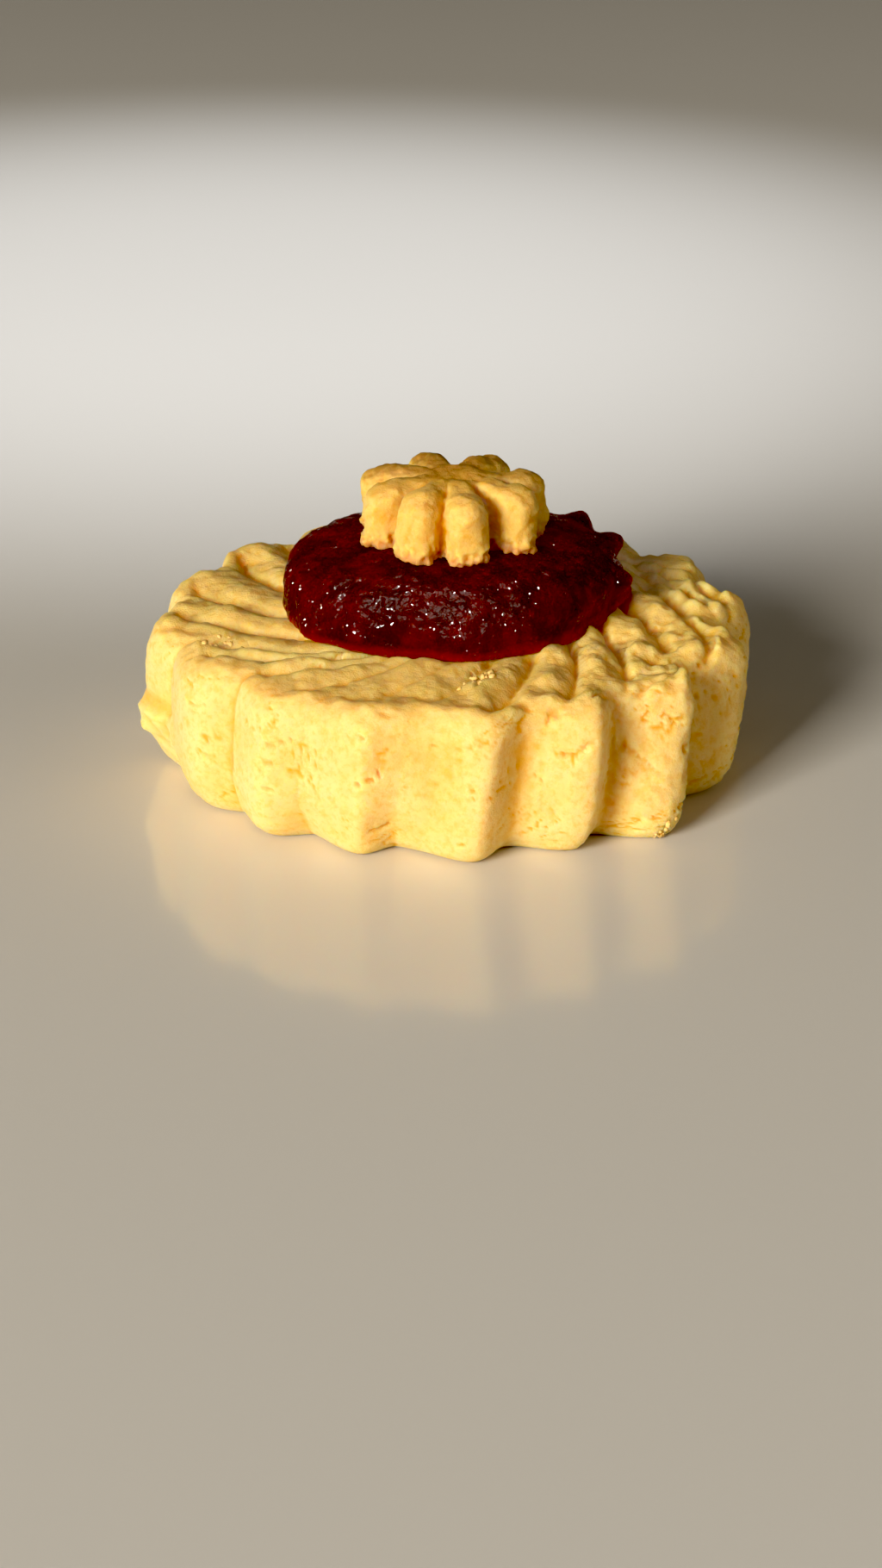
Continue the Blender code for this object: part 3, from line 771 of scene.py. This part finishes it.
# ---------------------------------------------------------------- flower
# A rope of the same dough squeezed through a small fluted tube, and a thick slice of it set on
# the jam. Its eight lobes are uneven, their cut feet are ragged, and the jam stains them.

FLOWER_CENTRE = (0.1 * MM, -0.5 * MM)
FLOWER_RADIUS = 6.9 * MM
FLOWER_CORE = 4.0 * MM
FLOWER_TOP = 22.0 * MM
PETALS = (-157.0, -117.0, -79.0, -30.0, 5.0, 60.0, 110.0, 160.0)
PETAL_WIDTH = math.radians(18.0)
PETAL_SQUARENESS = 2.6
CLEFT_DEPTH = 1.1 * MM
FLOWER_LUMPS = 0.25 * MM
FLOWER_SWELL = 0.30 * MM
FLOWER_CRUMB = 0.15 * MM
FOOT_RAGS = 0.50 * MM
STAIN_HEIGHT = 1.3 * MM
FLOWER_GRID = 0.13 * MM


def flower_profile():
    """Radius and height as shares: height 0 lies on the jam and 1 is the flower's top face."""
    foot = straight((0.0, 0.0), (0.93, 0.0), 12) + arc((0.93, 0.07), (0.06, 0.07), -90, 0, 6)
    wall = straight((0.99, 0.1), (1.0, 0.66), 14)
    shoulder = arc((0.62, 0.66), (0.38, 0.34), 0, 88, 20, 2.3)
    top = straight((0.62, 1.0), (0.0, 1.0), 16)
    return foot + wall + shoulder + top + [(0.0, 1.0)]


def jam_top(x, y):
    """Height of the mound's upper surface, away from its edge."""
    share = np.minimum(1.0, np.hypot(x, y) / JAM_RADIUS)
    rise = (1.0 - share**JAM_FULLNESS) ** (1.0 / JAM_FULLNESS)
    return JAM_EQUATOR + JAM_RISE * rise + jam_lumps(x, y)


def petal(angle):
    """1 on the middle of a petal, falling to 0 in the cleft halfway to the next one."""
    off = np.sort([np.abs(turn_between(angle, math.radians(middle))) for middle in PETALS], axis=0)
    share = off[0] / np.minimum((off[0] + off[1]) / 2.0, PETAL_WIDTH)
    return np.sqrt(1.0 - np.minimum(share, 1.0) ** PETAL_SQUARENESS)


def seated(places):
    """Moves the points of the round button into a petalled flower that sits on the jam."""
    x, y, z = places.T
    z = z / MM  # the blank is 1 mm high and in radius
    angle, share = np.arctan2(y, x), np.hypot(x, y) / MM
    cleft = 1.0 - petal(angle)
    notch = (FLOWER_RADIUS - FLOWER_CORE) * cleft
    notch = notch - FLOWER_LUMPS * lumps(np.cos(angle), np.sin(angle), z, 0.5)
    radius = share * (FLOWER_RADIUS - notch * smooth(0.2, 0.8, share))
    x, y = FLOWER_CENTRE[0] + radius * np.cos(angle), FLOWER_CENTRE[1] + radius * np.sin(angle)
    foot = jam_top(x, y) - 0.1 * MM
    top = FLOWER_TOP - CLEFT_DEPTH * cleft * smooth(0.2, 0.7, share)
    top = top + FLOWER_LUMPS * lumps(x, y, 0.0, 2.5 * MM)
    return np.stack((x, y, foot + (top - foot) * z), axis=1)


unit_profile = [(r * MM, z * MM) for r, z in flower_profile()]
flower = turned_blank("pastry_blossom", unit_profile, 480)
move_points(flower, seated(points_of(flower)))
add_modifier(flower, "REMESH", mode="VOXEL", voxel_size=FLOWER_GRID)
places = points_of(flower)
above_jam = places[:, 2] - jam_top(places[:, 0], places[:, 1])
ragged_foot = 1.0 - smooth(0.4 * MM, 1.6 * MM, above_jam)
surface = FLOWER_SWELL * grain(places, 1.8 * MM, 2) + FLOWER_CRUMB * grain(places, 0.6 * MM, 3)
surface += FOOT_RAGS * ragged_foot * grain(places, 0.6 * MM, 2)
push_out(flower, surface)

# Painted shade: the flower's colour deepens in its small hollows and clefts, and in the middle of its top
# where the petals meet.
fine = sunk(flower, 6, 0.08 * MM)
broad = sunk(flower, 150, 0.5 * MM)
from_middle = np.hypot(places[:, 0] - FLOWER_CENTRE[0], places[:, 1] - FLOWER_CENTRE[1])
upward = normals_of(flower)[:, 2]
middle = (1.0 - smooth(1.0 * MM, 5.0 * MM, from_middle)) * smooth(0.3, 0.8, upward)
painted_crevice_shade = 0.4 * np.clip(fine, 0, 1) + 0.8 * np.clip(broad, 0, 1) + 0.6 * middle
store(flower, "painted_crevice_shade", np.clip(painted_crevice_shade, 0.0, 1.0))
# painted highlight: proud points of the flower are paler, and its ragged feet are paler too
store(flower, "proud", np.clip(-0.4 * fine - 0.4 * broad + 0.7 * ragged_foot, 0.0, 1.0))
# Painted shade: the upward faces at the back of the flower are marked to be darkened.
store(flower, "painted_back_shade", smooth(-4.5 * MM, 1.5 * MM, places[:, 1]) * smooth(0.2, 0.9, upward))
soaked_to = above_jam + 0.5 * MM * grain(places, 1.6 * MM, 2)
store(flower, "stain", 1.0 - smooth(0.1 * MM, STAIN_HEIGHT, soaked_to))
flower.data.shade_smooth()

STAIN = (0.75, 0.30, 0.16)
RICHER = (0.93, 0.86, 0.68)  # the flower is a deeper gold than the base
# painted shade for the back of the flower's top
PAINTED_BACK_SHADE = (0.54, 0.47, 0.33)


def flower_material():
    """The base's shortcrust, stained by the jam at the petals' feet, with painted shade darkening the back of
    its top.
    """
    material = pastry_material("stained shortcrust", 1.3 * MM)
    tree = material.node_tree
    shader = tree.nodes["Principled BSDF"]
    clean = shader.inputs["Base Color"].links[0].from_socket
    stain = node(tree, "ShaderNodeAttribute", attribute_name="stain").outputs["Fac"]
    soaked = mixed(tree, ranged(tree, stain, 0.25, 1.0, 0.0, 0.8), clean, STAIN)
    golden = mixed(tree, 1.0, soaked, RICHER, "MULTIPLY")
    # painted shade darkens the back of the top
    painted_back_shade = node(tree, "ShaderNodeAttribute", attribute_name="painted_back_shade").outputs["Fac"]
    back_shaded = mixed(tree, painted_back_shade, golden, PAINTED_BACK_SHADE, "MULTIPLY")
    tree.links.new(back_shaded, shader.inputs["Base Color"])
    return material


flower.data.materials.append(flower_material())
flower.visible_glossy = False  # the jam is too rough to mirror it
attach(flower, "root")
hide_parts("pastry_flower")

# ---------------------------------------------------------------- table, light and camera
# A pale glazed table top. Daylight comes from a window low on the left, with a weak fill from the
# right and a pool of light on the table behind. A small high lamp only glints on the wet jam.

bpy.ops.object.select_all(action="DESELECT")
bpy.ops.mesh.primitive_plane_add(size=4.0, location=(0.0, 0.0, -0.02 * MM))
table = bpy.context.object
table.name = "table_top"
bpy.ops.object.transform_apply(location=True, rotation=True, scale=True)
glaze = bpy.data.materials.new("pale glaze")
glaze.use_nodes = True
shader = glaze.node_tree.nodes["Principled BSDF"]
shader.inputs["Base Color"].default_value = (0.75, 0.755, 0.76, 1.0)
shader.inputs["Roughness"].default_value = 0.13
table.data.materials.append(glaze)

TART_MIDDLE = Vector((0.0, 0.0, 11.5 * MM))


def area_light(name, direction, elevation, distance, size, power, colour):
    """A square lamp aimed at the tart, from a direction in degrees, 0 in front and left negative."""
    turn, rise = math.radians(direction), math.radians(elevation)
    away = Vector((math.sin(turn) * math.cos(rise), -math.cos(turn) * math.cos(rise), math.sin(rise)))
    bpy.ops.object.light_add(type="AREA", location=TART_MIDDLE + away * distance)
    lamp = bpy.context.object
    lamp.name = name
    lamp.rotation_euler = away.to_track_quat("Z", "Y").to_euler()
    lamp.data.size = size
    lamp.data.energy = power
    lamp.data.color = colour
    return lamp


window = area_light("window", direction=-34.0, elevation=19.0, distance=1.60, size=0.55,
                    power=37.0, colour=(1.0, 0.90, 0.75))
window.visible_glossy = False
fill = area_light("fill", direction=60.0, elevation=22.0, distance=1.20, size=0.60,
                  power=1.6, colour=(1.0, 0.84, 0.62))
fill.visible_glossy = False
glints = area_light("glints", direction=-30.0, elevation=66.0, distance=0.80, size=0.08,
                    power=16.0, colour=(1.0, 0.97, 0.92))
glints.visible_diffuse = False
bpy.ops.object.light_add(type="SPOT", location=(-0.025, 0.14, 0.40))
far_light = bpy.context.object
far_light.name = "far_light"
far_light.data.energy = 5.0
far_light.data.spot_size = math.radians(35.0)
far_light.data.spot_blend = 1.0
far_light.visible_glossy = False

world = bpy.data.worlds.new("room")
bpy.context.scene.world = world
world.use_nodes = True
world.node_tree.nodes["Background"].inputs["Color"].default_value = (0.62, 0.58, 0.48, 1.0)
world.node_tree.nodes["Background"].inputs["Strength"].default_value = 0.14

CAMERA_DISTANCE = 237.0 * MM
CAMERA_ELEVATION = math.radians(20.1)
CAMERA_PITCH = math.radians(23.3)  # a little steeper, so that the tart stands above the middle
CAMERA_YAW = math.radians(0.19)
CAMERA_LENS = 73.1  # mm
away = Vector((0.0, -math.cos(CAMERA_ELEVATION), math.sin(CAMERA_ELEVATION)))
bpy.ops.object.camera_add(location=TART_MIDDLE + away * CAMERA_DISTANCE,
                          rotation=(math.pi / 2.0 - CAMERA_PITCH, 0.0, CAMERA_YAW))
camera = bpy.context.object
camera.data.lens = CAMERA_LENS
camera.data.clip_start = 0.01
bpy.context.scene.camera = camera
view = bpy.context.scene.view_settings
view.view_transform = "Standard"
view.use_curve_mapping = True
view.curve_mapping.black_level = (0.025, 0.03, 0.034)
view.curve_mapping.update()
